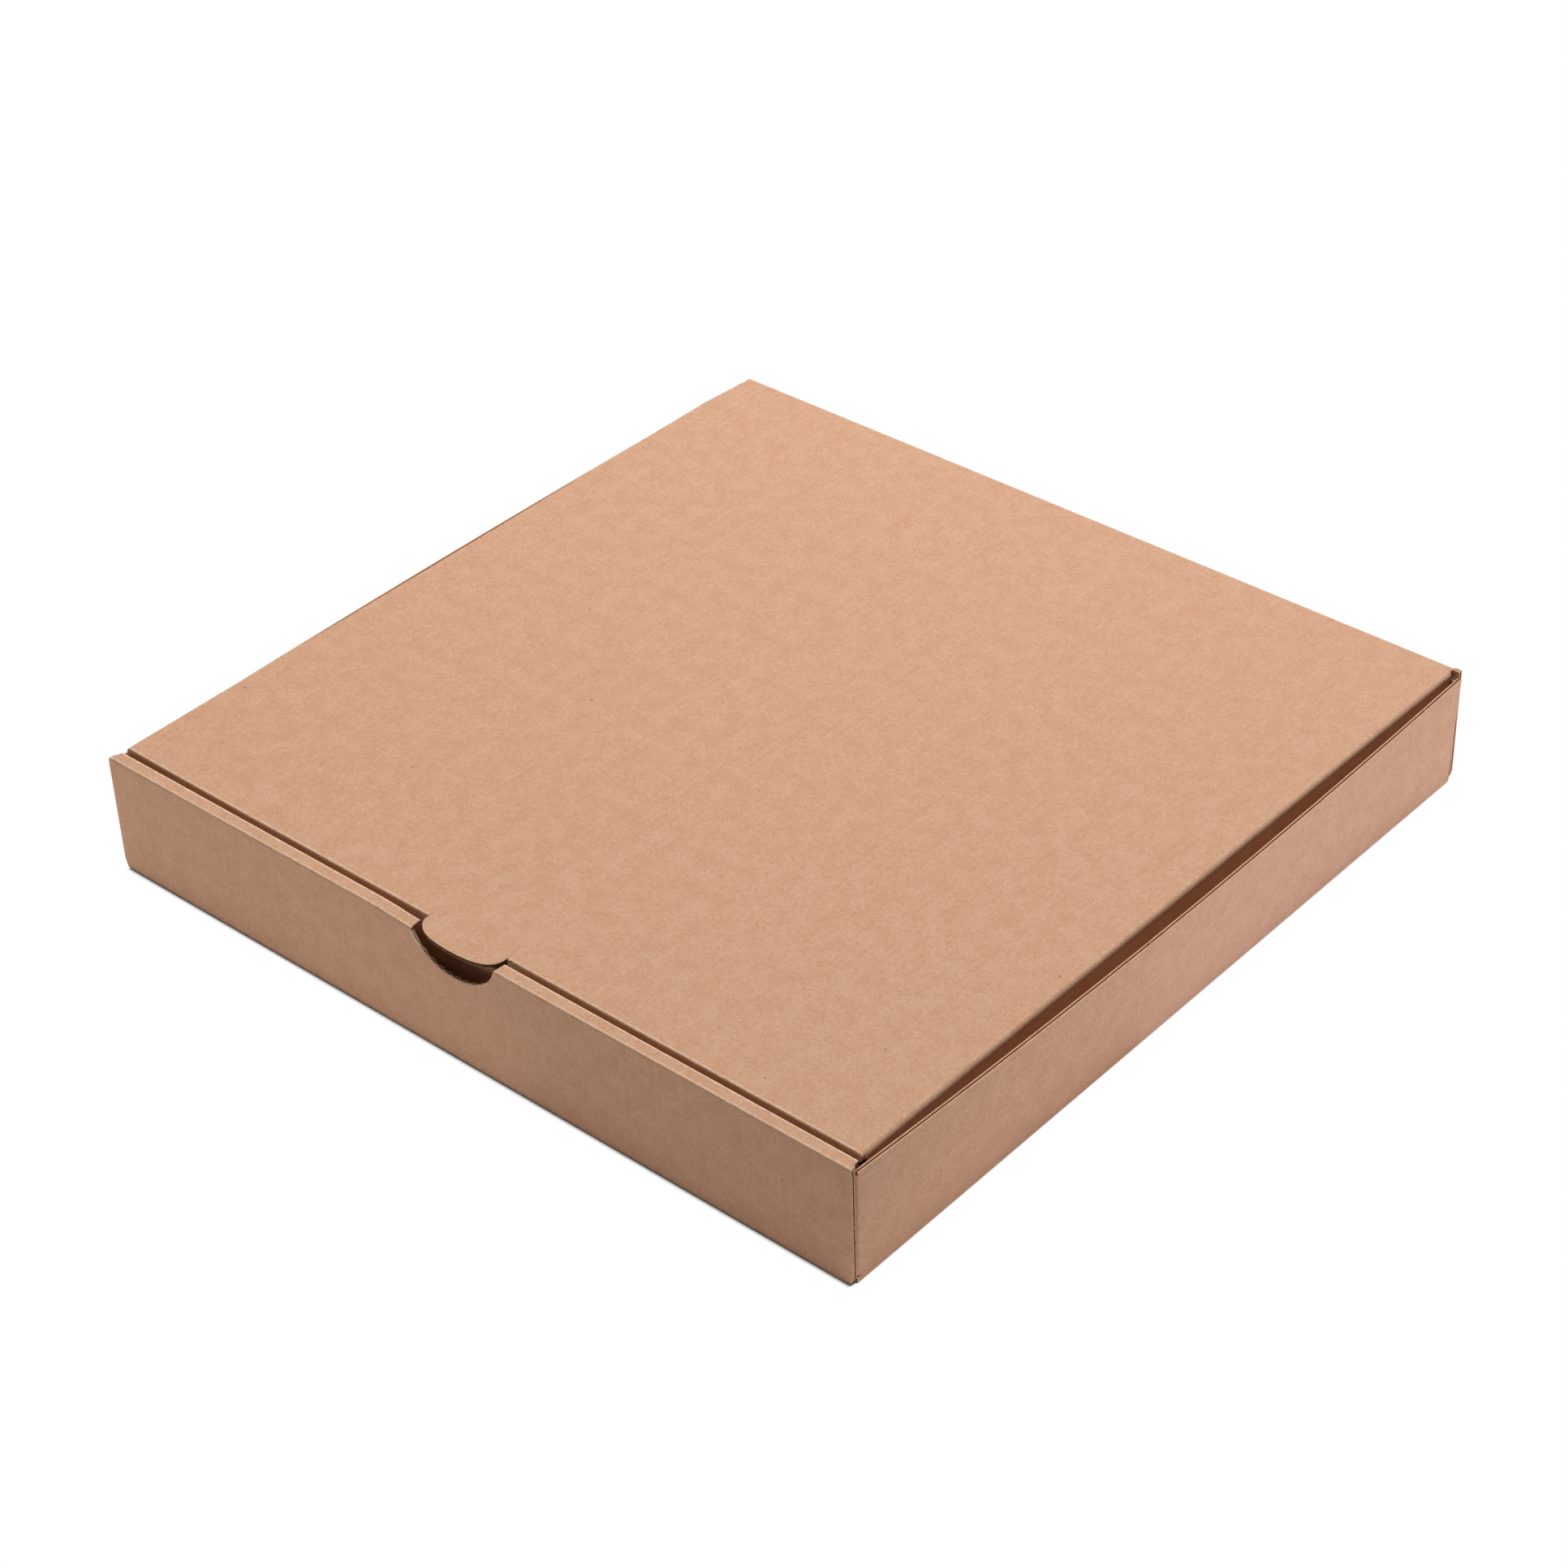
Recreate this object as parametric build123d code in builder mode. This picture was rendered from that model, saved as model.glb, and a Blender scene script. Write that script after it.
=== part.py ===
from build123d import *

import os
from math import radians, sin

# Fluted board, in millimetres
board = 1.5
fold_radius = 1.0
ply_gap = 0.2

# Tray, measured over its outer faces
box_width = 304.0
box_depth = 302.6
box_height = 43.2
side_drop = 2.2
left_lean = 1.0
right_lean = 1.5
left_bow = 1.6
right_bow = 2.3
corner_round = 2.0

# Ears at both ends of the side walls
ear_length = 62.0
ear_drop = 1.0
ear_lift = 1.5
ear_taper = 5.0
ear_round = 10.0

# Thumb notch through the rolled front wall, wider and deeper in its inner panel
notch_half_width = 17.3
notch_depth = 11.0
notch_inner_half = 21.5
notch_inner_depth = 16.0
notch_inner_taper = 6.0
notch_inner_round = 3.5
notch_flare = 4.9

# Rolled front wall: its inner panel stands on the floor and locks into two slots
roll_end_gap = 0.3
lock_width = 45.0
lock_place = 85.0
lock_taper = 3.0
lock_gap = 0.3
lock_recess = 0.3

# Lid and its tucked flaps
lid_side_gap = 0.3
lid_front_gap = 1.9
lid_side_round = 3.0
tab_gap = 1.0
tab_proud = 0.9
tab_full_share = 0.68
tuck_depth = 30.0
tuck_taper = 6.0
tuck_round = 14.0
flap_depth = 30.0
flap_taper = 9.0
flap_round = 8.0
flap_end_gap = 0.8

# Crease between the tray and the lid
crease_radius = 0.35
crease_gap = 0.2
crease_turn = 45.0

# Cuts run this far past what they cut
overrun = 5.0

# Places worked out from the sizes above
half_width = box_width / 2
front = -box_depth / 2
rear = box_depth / 2
side_height = box_height - side_drop
wall_front = front + board + ply_gap
wall_rear = rear - board - ply_gap
ear_foot = board + ear_lift
ear_top = side_height - ear_drop
ear_foot_share = (ear_foot - board) / (side_height - board)
ear_top_share = (ear_top - board) / (side_height - board)
roll_width = 3 * board + 2 * ply_gap
roll_inner = front + roll_width
roll_foot = board + ply_gap
roll_half = half_width - board - roll_end_gap
slot_middle = roll_inner - board / 2
notch_rise = roll_width / 2
crease_share = sin(radians(crease_turn))
hinge_y = rear - fold_radius * (1 - crease_share)
hinge_z = box_height - fold_radius * (1 - crease_share)
lid_half = half_width - board - lid_side_gap
lid_front = roll_inner + lid_front_gap
lid_under = box_height - board
fold_x = lid_half - lid_side_round
fold_z = box_height - lid_side_round
tab_half_width = notch_half_width - tab_gap
tab_reach = lid_front_gap + roll_width + tab_proud
tuck_half = lid_half - board
flap_front = lid_front + board
flap_rear = wall_rear - board - flap_end_gap

os.makedirs("parts", exist_ok=True)


def side_section(side, level, lean, bow):
    """Level cut of a side wall: round at both ear folds, moved out by its lean and bowed midway."""
    outer = side * (half_width + lean)
    inner = side * (half_width + lean - board)
    turn = side * (half_width + lean - fold_radius)
    arc_front = wall_front + fold_radius
    arc_rear = wall_rear - fold_radius
    with BuildSketch(Plane.XY.offset(level)) as section:
        with BuildLine():
            TangentArc((turn, wall_front), (outer, arc_front), tangent=(side, 0))
            Bezier((outer, arc_front), (outer + side * 2 * bow, 0), (outer, arc_rear))
            TangentArc((outer, arc_rear), (turn, wall_rear), tangent=(0, 1))
            Line((turn, wall_rear), (inner, wall_rear))
            Bezier((inner, wall_rear), (inner + side * 2 * bow, 0), (inner, wall_front))
            Line((inner, wall_front), (turn, wall_front))
        make_face()
    return section.sketch


def ear_outline(side, plane, lean):
    """Upright ear: its fold leans with the side wall, and its free end is tapered and rounded."""
    foot_root = side * (half_width - fold_radius + lean * ear_foot_share)
    top_root = side * (half_width - fold_radius + lean * ear_top_share)
    end = side * (half_width - ear_length)
    with BuildSketch(plane) as outline:
        with BuildLine():
            FilletPolyline(
                (foot_root, ear_foot),
                (end, ear_foot + ear_taper),
                (end, ear_top - ear_taper),
                (top_root, ear_top),
                radius=ear_round,
            )
            Line((top_root, ear_top), (foot_root, ear_foot))
        make_face()
    return outline.sketch


def tab_outline(plane, middle, root):
    """Half round with full shoulders below its middle line, and straight sides up to its root."""
    low = middle - tab_reach
    shoulder = middle - tab_full_share * tab_reach
    full = tab_full_share * tab_half_width
    with BuildSketch(plane) as outline:
        with BuildLine():
            Polyline(
                (-tab_half_width, middle),
                (-tab_half_width, root),
                (tab_half_width, root),
                (tab_half_width, middle),
            )
            Bezier((tab_half_width, middle), (tab_half_width, shoulder), (full, low), (0, low))
            Bezier((0, low), (-full, low), (-tab_half_width, shoulder), (-tab_half_width, middle))
        make_face()
    return outline.sketch


def side_fold(plane):
    """Section of the soft fold between the lid's top and a side flap."""
    with BuildSketch(plane) as section:
        with BuildLine():
            CenterArc((fold_x, fold_z), lid_side_round, 0, 90)
            Line((fold_x, box_height), (fold_x, lid_under))
            CenterArc((fold_x, fold_z), lid_side_round - board, 0, 90)
            Line((lid_half - board, fold_z), (lid_half, fold_z))
        make_face()
    return section.sketch


with BuildPart() as tray:
    # Front wall rolled over into its inner panel, as one section across the box
    with BuildSketch(Plane.YZ):
        with BuildLine():
            FilletPolyline(
                (front + board, 0),
                (front, 0),
                (front, box_height),
                (roll_inner, box_height),
                (roll_inner, roll_foot),
                (roll_inner - board, roll_foot),
                (roll_inner - board, lid_under),
                (front + board, lid_under),
                radius=(fold_radius, fold_radius, fold_radius, 0, 0, 0),
            )
            Line((front + board, lid_under), (front + board, 0))
        make_face()
    extrude(amount=half_width, both=True)
    # The roll's ends draw in from the outer panel to clear the side walls
    for side in (-1, 1):
        with BuildSketch(Plane.XY):
            with BuildLine():
                Polyline(
                    (side * half_width, front + board),
                    (side * roll_half, roll_inner - board),
                    (side * roll_half, roll_inner + overrun),
                    (side * (half_width + overrun), roll_inner + overrun),
                    (side * (half_width + overrun), front + board),
                    close=True,
                )
            make_face()
    extrude(amount=box_height + overrun, mode=Mode.SUBTRACT)
    # Back wall up to the middle of the lid crease
    with BuildSketch(Plane.YZ):
        with BuildLine():
            FilletPolyline(
                (rear - board, 0),
                (rear, 0),
                (rear, box_height - fold_radius),
                radius=fold_radius,
            )
            CenterArc(
                (rear - fold_radius, box_height - fold_radius), fold_radius, 0, crease_turn
            )
            Polyline((hinge_y, hinge_z), (rear - board, lid_under), (rear - board, 0))
        make_face()
    extrude(amount=half_width, both=True)
    with BuildSketch(Plane.YZ):
        with Locations((hinge_y, hinge_z)):
            Circle(crease_radius)
    extrude(amount=half_width, both=True, mode=Mode.SUBTRACT)
    # Lower corners of the front and back walls are cut round
    for side in (-1, 1):
        with BuildSketch(Plane.XZ.offset(rear + overrun)):
            with BuildLine():
                Polyline(
                    (side * (half_width - corner_round), 0),
                    (side * half_width, 0),
                    (side * half_width, corner_round),
                )
                TangentArc(
                    (side * half_width, corner_round),
                    (side * (half_width - corner_round), 0),
                    tangent=(0, -1),
                )
            make_face()
    extrude(amount=-(box_depth + 2 * overrun), mode=Mode.SUBTRACT)
    # Floor, with the two slots that take the locking tabs
    with BuildSketch():
        Rectangle(box_width - 2 * board, box_depth - 2 * board)
        with Locations((-lock_place, slot_middle), (lock_place, slot_middle)):
            Rectangle(lock_width + 2 * lock_gap, board + 2 * lock_gap, mode=Mode.SUBTRACT)
    extrude(amount=board)
    # Locking tabs under the inner panel
    for side in (-1, 1):
        with BuildSketch(Plane.XZ.offset(-roll_inner)):
            with BuildLine():
                Polyline(
                    (side * lock_place - lock_width / 2, roll_foot),
                    (side * lock_place - lock_width / 2 + lock_taper, lock_recess),
                    (side * lock_place + lock_width / 2 - lock_taper, lock_recess),
                    (side * lock_place + lock_width / 2, roll_foot),
                    close=True,
                )
            make_face()
    extrude(amount=board)
    for side, lean, bow in ((-1, left_lean, left_bow), (1, right_lean, right_bow)):
        # Round fold along the floor's edge
        with BuildSketch(Plane.XZ.offset(-wall_rear)):
            with BuildLine():
                FilletPolyline(
                    (side * (half_width - board), 0),
                    (side * half_width, 0),
                    (side * half_width, board),
                    radius=fold_radius,
                )
                Polyline(
                    (side * half_width, board),
                    (side * (half_width - board), board),
                    (side * (half_width - board), 0),
                )
            make_face()
        extrude(amount=wall_rear - wall_front)
        # Wall that leans out, and bows out toward the middle of its top edge
        loft(
            [side_section(side, board, 0, 0), side_section(side, side_height, lean, bow)],
            ruled=True,
        )
        # Front ear inside the rolled wall, rear ear against the back wall
        extrude(ear_outline(side, Plane.XZ.offset(-wall_front), lean), amount=-board)
        extrude(ear_outline(side, Plane.XZ.offset(-wall_rear), lean), amount=board)
    # Thumb notch: an ellipse on the flat sheet, centred on the roll
    with BuildSketch(Plane.XZ.offset(rear + overrun)):
        with Locations((0, box_height + notch_rise)):
            Ellipse(notch_half_width, notch_depth + notch_rise)
    extrude(amount=-(roll_width + 2 * overrun), mode=Mode.SUBTRACT)
    # In the inner panel the notch flares, so that the panel stays clear of the thumb
    with BuildSketch(Plane.XZ.offset(board + ply_gap - roll_inner)):
        with BuildLine():
            FilletPolyline(
                (-notch_half_width, lid_under),
                (-notch_inner_half, lid_under - notch_flare),
                (-notch_inner_half + notch_inner_taper, box_height - notch_inner_depth),
                (notch_inner_half - notch_inner_taper, box_height - notch_inner_depth),
                (notch_inner_half, lid_under - notch_flare),
                (notch_half_width, lid_under),
                radius=notch_inner_round,
            )
            Line((notch_half_width, lid_under), (-notch_half_width, lid_under))
        make_face()
    extrude(amount=-(board + ply_gap + overrun), mode=Mode.SUBTRACT)

with BuildPart() as lid_corner:
    # Closed front corner of the lid, where the front fold and a side fold meet
    extrude(side_fold(Plane.XZ.offset(-flap_front)), amount=board)
    with BuildSketch(Plane.YZ):
        with BuildLine():
            FilletPolyline(
                (lid_front, lid_under),
                (lid_front, box_height),
                (flap_front, box_height),
                radius=fold_radius,
            )
            Polyline((flap_front, box_height), (flap_front, lid_under), (lid_front, lid_under))
        make_face()
    extrude(amount=half_width, mode=Mode.INTERSECT)

with BuildPart() as lid:
    # Top panel and the round fold of its front flap
    with BuildSketch(Plane.YZ):
        with BuildLine():
            FilletPolyline(
                (lid_front, lid_under),
                (lid_front, box_height),
                (flap_rear, box_height),
                radius=fold_radius,
            )
            Polyline(
                (flap_rear, box_height), (flap_rear, lid_under), (lid_front, lid_under)
            )
        make_face()
    extrude(amount=fold_x, both=True)
    # Front flap tucked down behind the rolled wall
    with BuildSketch(Plane.XZ.offset(-lid_front)):
        with BuildLine():
            FilletPolyline(
                (-tuck_half, lid_under),
                (-tuck_half + tuck_taper, box_height - tuck_depth),
                (tuck_half - tuck_taper, box_height - tuck_depth),
                (tuck_half, lid_under),
                radius=tuck_round,
            )
            Line((tuck_half, lid_under), (-tuck_half, lid_under))
        make_face()
    extrude(amount=-board)
    # Closed corner, soft side fold and side flap, the same on both sides
    add(lid_corner.part)
    extrude(side_fold(Plane.XZ.offset(-flap_rear)), amount=flap_rear - flap_front)
    with BuildSketch(Plane.YZ.offset(tuck_half)):
        with BuildLine():
            FilletPolyline(
                (flap_front, fold_z),
                (flap_front + flap_taper, box_height - flap_depth),
                (flap_rear - flap_taper, box_height - flap_depth),
                (flap_rear, fold_z),
                radius=flap_round,
            )
            Line((flap_rear, fold_z), (flap_front, fold_z))
        make_face()
    extrude(amount=board)
    mirror(about=Plane.YZ)
    # Rear strip down to the middle of the crease
    with BuildSketch(Plane.YZ):
        with BuildLine():
            Line((flap_rear, box_height), (rear - fold_radius, box_height))
            CenterArc(
                (rear - fold_radius, box_height - fold_radius), fold_radius, 90, -crease_turn
            )
            Polyline(
                (hinge_y, hinge_z),
                (rear - board, lid_under),
                (flap_rear, lid_under),
                (flap_rear, box_height),
            )
        make_face()
    extrude(amount=lid_half, both=True)
    # Room along the crease, with a round groove on the turning line
    with BuildSketch(Plane.YZ):
        with Locations((hinge_y, hinge_z)):
            Circle(crease_radius)
            with Locations(Rotation(0, 0, crease_turn)):
                Rectangle(4 * board, crease_gap, align=(Align.CENTER, Align.MIN))
    extrude(amount=half_width, both=True, mode=Mode.SUBTRACT)
    # Thumb tab in the plane of the lid, cut out of the front flap
    window = tab_outline(Plane.XZ.offset(overrun - lid_front), box_height, box_height + overrun)
    extrude(window, amount=-(board + overrun), mode=Mode.SUBTRACT)
    extrude(tab_outline(Plane.XY.offset(lid_under), lid_front, flap_front + board), amount=board)

tray.part.label = "tray"
lid.part.label = "lid"
export_step(tray.part, "parts/tray.step")
export_step(lid.part, "parts/lid.step")
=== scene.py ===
import math

import bpy
import numpy as np
from mathutils import Matrix, Vector
from mathutils.geometry import delaunay_2d_cdt


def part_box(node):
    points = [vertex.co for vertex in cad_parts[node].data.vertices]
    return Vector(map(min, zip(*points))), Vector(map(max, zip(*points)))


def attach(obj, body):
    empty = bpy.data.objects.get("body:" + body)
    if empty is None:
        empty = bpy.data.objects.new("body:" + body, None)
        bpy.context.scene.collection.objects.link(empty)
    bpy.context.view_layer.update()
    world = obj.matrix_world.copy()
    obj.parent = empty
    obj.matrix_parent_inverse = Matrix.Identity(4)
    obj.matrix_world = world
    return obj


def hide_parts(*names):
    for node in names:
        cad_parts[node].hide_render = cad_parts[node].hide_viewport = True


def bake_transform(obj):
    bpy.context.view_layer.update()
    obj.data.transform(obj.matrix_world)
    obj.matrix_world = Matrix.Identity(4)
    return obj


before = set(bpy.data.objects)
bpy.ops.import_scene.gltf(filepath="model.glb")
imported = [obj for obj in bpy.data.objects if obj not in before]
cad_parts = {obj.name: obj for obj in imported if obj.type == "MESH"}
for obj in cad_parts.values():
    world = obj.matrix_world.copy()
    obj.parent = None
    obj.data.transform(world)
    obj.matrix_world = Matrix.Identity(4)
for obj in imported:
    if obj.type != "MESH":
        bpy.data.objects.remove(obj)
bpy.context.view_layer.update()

# Lengths are in metres, and most are written in millimetres
MM = 0.001
rng = np.random.default_rng(20)

# Board: two liners with a waved sheet between them
BOARD = 1.5 * MM
LINER = 0.34 * MM
PRESSED_LINER = 0.45 * MM
MEDIUM = 0.3 * MM
FLUTE = 3.3 * MM
FLUTE_STEPS = 4
OPEN_SHARE = 0.3
OPEN_FLUTE = 2.4 * MM
SHUT_FLUTE = 0.16 * MM
PRESSED_FLUTE = 0.03 * MM
PLY_GAP = 0.2 * MM
SHARP_ANGLE = math.radians(40)

# Folds: outer radius, bead at the inner face, and where the outer face is rubbed pale and given a painted
# highlight
FOLD = 1.0 * MM
FRONT_FOLD = 0.6 * MM
SIDE_FOLD = 1.5 * MM
BEAD = 0.4 * MM
REACH = BOARD + BEAD
FOLD_STEPS = 12
CROWN = 0.42
UPPER_CROWN = 0.37
INNER_CROWN = 0.6
FLAP_CROWN = 0.1
CROWN_WIDTH = 0.15
FLAP_RUB_AND_HIGHLIGHT = 0.6

# Tufts of torn fibre
TUFT_FIBRES = 9
TUFT_WIDTH = 0.9 * MM
TUFT_LENGTH = 0.9 * MM
TUFT_THICK = 0.14 * MM
TUFT_SPLAY = 0.7

# How close the points lie on the flat sheet, and when two are one
ACROSS = 0.42 * MM
ALONG = 2.5 * MM
FINE = 0.28 * MM
ROW_STEP = 4.0 * MM
GRID = 9.0 * MM
CLEAR = 2.5 * MM
MERGE = 0.02 * MM
WELD_MM = 1e-4
TINY = 1e-9
SHARE_END = 1e-6
CURVE_STEPS = 60
LONGEST_TRIM = 0.45

# Places read from the solids
tray_low, tray_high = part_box("tray")
lid_low, lid_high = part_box("lid")
FRONT = tray_low.y
REAR = tray_high.y
TOP = tray_high.z
LID_HALF = lid_high.x
LID_SIDE_GAP = 0.3 * MM
HALF = LID_HALF + LID_SIDE_GAP + BOARD
LEAN = {-1: 0.3 * MM, 1: 1.5 * MM}
BOW = {-1: 2.0 * MM, 1: tray_high.x - HALF - LEAN[1]}

# Tray walls: each DRAW or CUT is a small step that keeps a cut clear of the next panel
SIDE_DROP = 2.2 * MM
SIDE_TOP = TOP - SIDE_DROP
WALL = REAR - BOARD - PLY_GAP
CORNER = 2.0 * MM
END_DRAW = 0.5 * MM
RIDGE_DRAW = 0.6 * MM
SIDE_END_GAP = 0.6 * MM

# Rolled front wall
ROLL_INNER = FRONT + 3 * BOARD + 2 * PLY_GAP
ROLL_FOOT = BOARD + PLY_GAP
ROLL_END_GAP = 0.3 * MM
ROLL_HALF = HALF - BOARD - ROLL_END_GAP

# Ears of the side walls
EAR_LENGTH = 62 * MM
EAR_FOOT = 3.0 * MM
EAR_TOP = 40.0 * MM
EAR_TAPER = 5.0 * MM
EAR_ROUND = 10.0 * MM
EAR_FOOT_CUT = 0.4 * MM
EAR_TOP_CUT = 0.2 * MM
EAR_ACROSS = 1.5 * ACROSS

# Locking tabs and their slots in the floor
LOCK_WIDTH = 45 * MM
LOCK_PLACE = 85 * MM
LOCK_TAPER = 3.0 * MM
LOCK_GAP = 0.3 * MM
LOCK_RECESS = 0.3 * MM
SLOT_ACROSS = 2 * ACROSS

# Thumb notch, wider and deeper in the inner panel
NOTCH_HALF = 17.3 * MM
NOTCH_DEPTH = 11.0 * MM
NOTCH_INNER = 16.0 * MM
NOTCH_WIDE = 21.5 * MM
NOTCH_FLARE = 4.5 * MM
NOTCH_TAPER = 6.0 * MM
NOTCH_ROUND = 3.5 * MM
NOTCH_DRAW = 0.4 * MM

# Uneven places: the back wall's tips, nicks, a dip by the notch and the right wall's ends
HORN_GAP = 0.2 * MM
LEFT_HORN = 2.6 * MM
WALL_NICKS = (127.4 * MM, -20.1 * MM, -31.0 * MM)
END_NICKS = (33.9 * MM, 22.3 * MM, 15.8 * MM)
DIP = 0.9 * MM
DIP_LENGTH = 9.0 * MM
DIP_FOOT = 30 * MM
DIP_LINES = (-2, -1.4, -1, -0.6, -0.3, 0.3, 0.6)
FRONT_RISE = 0.3 * MM
REAR_RISE = 0.6 * MM
CATCH = 0.7

# Lid, its thumb tab and the front flap that tucks in
LID_FRONT_GAP = 1.9 * MM
LID_FRONT = ROLL_INNER + LID_FRONT_GAP
TAB_HALF = 16.3 * MM
TAB_POWER = 2.47
TAB_ROOT = 0.4 * MM
TAB_CUT = 0.25 * MM
TAB_SPARE = 0.1 * MM
TUCK_DEPTH = 30 * MM
TUCK_TAPER = 6.0 * MM
TUCK_ROUND = 14.0 * MM

# Side flaps
FLAP_DEPTH = 30 * MM
FLAP_TAPER = 9.0 * MM
FLAP_ROUND = 8.0 * MM
FLAP_END_GAP = 0.8 * MM
FLAP_REAR = WALL - BOARD - FLAP_END_GAP
FLAP_INSET = 4.0 * MM
FLAP_SHOULDER = 5.0 * MM
FLAP_FRONT_DRAW = 0.6 * MM
FLAP_REAR_DRAW = 0.4 * MM

# Crease at the hinge, and where the lid starts on the flat sheet
CREASE_END_GAP = 0.8 * MM
CREASE_HALF = LID_HALF - CREASE_END_GAP
SETTLE = 0.5 * MM
LID_START = REAR + TOP
HINGE_Y = REAR - REACH
SIDE_REAR = HINGE_Y - SETTLE

# Rounded front corners of the lid, and the sway of its left edge
CORNER_SHARE = 0.8
CORNER_LINES = (0.001, 0.35, 0.65, 0.85)
SWAY = 1.1 * MM
LIFT = 0.4 * MM
SWAY_START = 100 * MM
SWAY_FOOT = 40.2 * MM
SWAY_RISE = 1.2 * MM
SWAY_REAR = 20 * MM
SWAY_SHARES = (1.0, 0.5, 0.0)
SWAY_RUNS = (1.0 * MM, 3.0 * MM, 8.0 * MM)

# Finishes of a face, in the order of the list of materials: plain liner, pale cut paper lightened as a
# painted highlight, and the waved sheet painted dark as the shade in the flutes
FACE, EDGE, WAVED_SHADED = 0, 1, 2

# Lines round a panel: a join to the next, an open cut, one painted dark below its lip as shade, a crushed
# one, and one with its inner lip painted dark as shade
JOIN, RAW, SHADED_UNDER, PRESSED, SHADED_LIP = 0, 1, 2, 3, 4


def unit(vector):
    return vector / np.linalg.norm(vector)


class FoldPath:
    """Section of a folded board. Flat length runs on the outer face, and the inner face is one board in.

    Each fold turns its outer face by a radius and its inner one round a bead. The fourth argument is how
    pale the folds are, rubbed and with a painted highlight, crown is where on them, and extra gives more
    rows on the last run.
    """

    def __init__(
        self, corners, inner_side, start=0.0, rub_and_highlight=1.0, radius=FOLD, bead=BEAD, crown=CROWN, extra=()
    ):
        reach = BOARD + bead
        points = [np.array(corner, float) for corner in corners]
        runs = [unit(after - before) for before, after in zip(points, points[1:])]
        inward = [inner_side * np.array((-run[1], run[0])) for run in runs]
        crown = np.broadcast_to(crown, len(points) - 2)
        self.rows = []
        self.folds = []
        length = start
        here = points[0]
        self.rows.append((length, here, here + inward[0] * BOARD, 0.0))
        for number in range(1, len(points) - 1):
            corner = points[number]
            into, out_of = runs[number - 1], runs[number]
            old, new = inward[number - 1], inward[number]
            begin = corner - into * reach
            length += np.linalg.norm(begin - here)
            straight = reach - radius
            arc = radius * math.pi / 2
            zone = 2 * straight + arc
            outer_centre = corner + (old - into) * radius
            inner_centre = corner + (old + new) * reach
            for step in range(FOLD_STEPS + 1):
                share = step / FOLD_STEPS
                run = share * zone
                if run < straight:
                    outer = begin + into * run
                elif run > straight + arc:
                    outer = corner + out_of * (run - straight - arc + radius)
                else:
                    turn = (run - straight) / radius
                    outer = outer_centre + radius * (into * math.sin(turn) - old * math.cos(turn))
                turn = share * math.pi / 2
                inner = inner_centre - bead * (old * math.cos(turn) + new * math.sin(turn))
                # Paleness on the crown of the fold: rubbed paper and a painted highlight
                wear_and_highlight = rub_and_highlight * math.exp(-(((share - crown[number - 1]) / CROWN_WIDTH) ** 2))
                self.rows.append((length + run, outer, inner, wear_and_highlight))
            self.folds.append((length, length + zone / 2, length + zone))
            length += zone
            here = corner + out_of * reach
        for run in extra:
            outer = here + runs[-1] * run
            self.rows.append((length + run, outer, outer + inward[-1] * BOARD, 0.0))
        length += np.linalg.norm(points[-1] - here)
        self.rows.append((length, points[-1], points[-1] + inward[-1] * BOARD, 0.0))
        self.table = np.array([(row[0], *row[1], *row[2], row[3]) for row in self.rows])

    @property
    def start(self):
        return self.table[0, 0]

    @property
    def end(self):
        return self.table[-1, 0]

    def fold_rows(self):
        return [row[0] for row in self.rows[1:-1]]

    def column(self, length, number):
        return np.interp(length, self.table[:, 0], self.table[:, number])

    def at(self, length, depth):
        share = depth / BOARD
        first = self.column(length, 1) * (1 - share) + self.column(length, 3) * share
        second = self.column(length, 2) * (1 - share) + self.column(length, 4) * share
        return first, second

    def wear_and_highlight(self, length):
        return self.column(length, 5)


class Strip:
    """A fold path drawn out sideways, with where its flat points lie on the uncut sheet."""

    def __init__(self, path, lay, flat, warp=None, lines=()):
        self.path = path
        self.lay = lay
        self.flat = flat
        self.warp = warp
        self.lines = lines

    def place(self, across, length, depth):
        first, second = self.path.at(length, depth)
        across, first, second = np.broadcast_arrays(across, first, second)
        xyz = np.stack(self.lay(across, first, second), -1)
        return self.warp(xyz) if self.warp else xyz

    def sheet(self, across, length, depth):
        across, length, depth = np.broadcast_arrays(across, length, depth)
        return np.stack((*self.flat(across, length), depth), -1)


class Loop:
    """A closed cutting line on the flat sheet, from runs that are raw cuts or joins to the next strip."""

    def __init__(self, strip, runs, hole=False):
        levels = strip.path.fold_rows()
        self.points = []
        self.cuts = []
        for spacing, raw, line in runs:
            fine = divide(line, spacing, levels)
            self.points.extend(fine[:-1])
            if raw:
                self.cuts.append((np.array(fine), raw))
        self.array = np.array(self.points)
        across, length = self.array[:, 0], self.array[:, 1]
        area = np.sum(across * np.roll(length, -1) - np.roll(across, -1) * length)
        self.inward = (1 if area > 0 else -1) * (-1 if hole else 1)


def divide(line, spacing, levels):
    """A line with points at most one spacing apart, and one wherever it crosses a fold row."""
    fine = [tuple(line[0])]
    for (a0, s0), (a1, s1) in zip(line, line[1:]):
        size = math.hypot(a1 - a0, s1 - s0)
        if size < TINY:
            continue
        count = max(1, math.ceil(size / spacing))
        shares = [step / count for step in range(1, count)]
        crossings = []
        if abs(s1 - s0) > TINY:
            crossings = [(level - s0) / (s1 - s0) for level in levels]
            crossings = [share for share in crossings if SHARE_END < share < 1 - SHARE_END]
        near = MERGE / size
        shares = [share for share in shares if all(abs(share - other) > near for other in crossings)]
        for share in sorted(shares + crossings) + [1.0]:
            fine.append((a0 + (a1 - a0) * share, s0 + (s1 - s0) * share))
    return fine


def inside(points, loop):
    """Which points lie within a closed line."""
    across, length = points[:, 0], points[:, 1]
    found = np.zeros(len(points), bool)
    for (a0, s0), (a1, s1) in zip(loop, np.roll(loop, -1, axis=0)):
        if s0 == s1:
            continue
        between = (s0 <= length) != (s1 <= length)
        found ^= between & (across < a0 + (length - s0) * (a1 - a0) / (s1 - s0))
    return found


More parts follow.
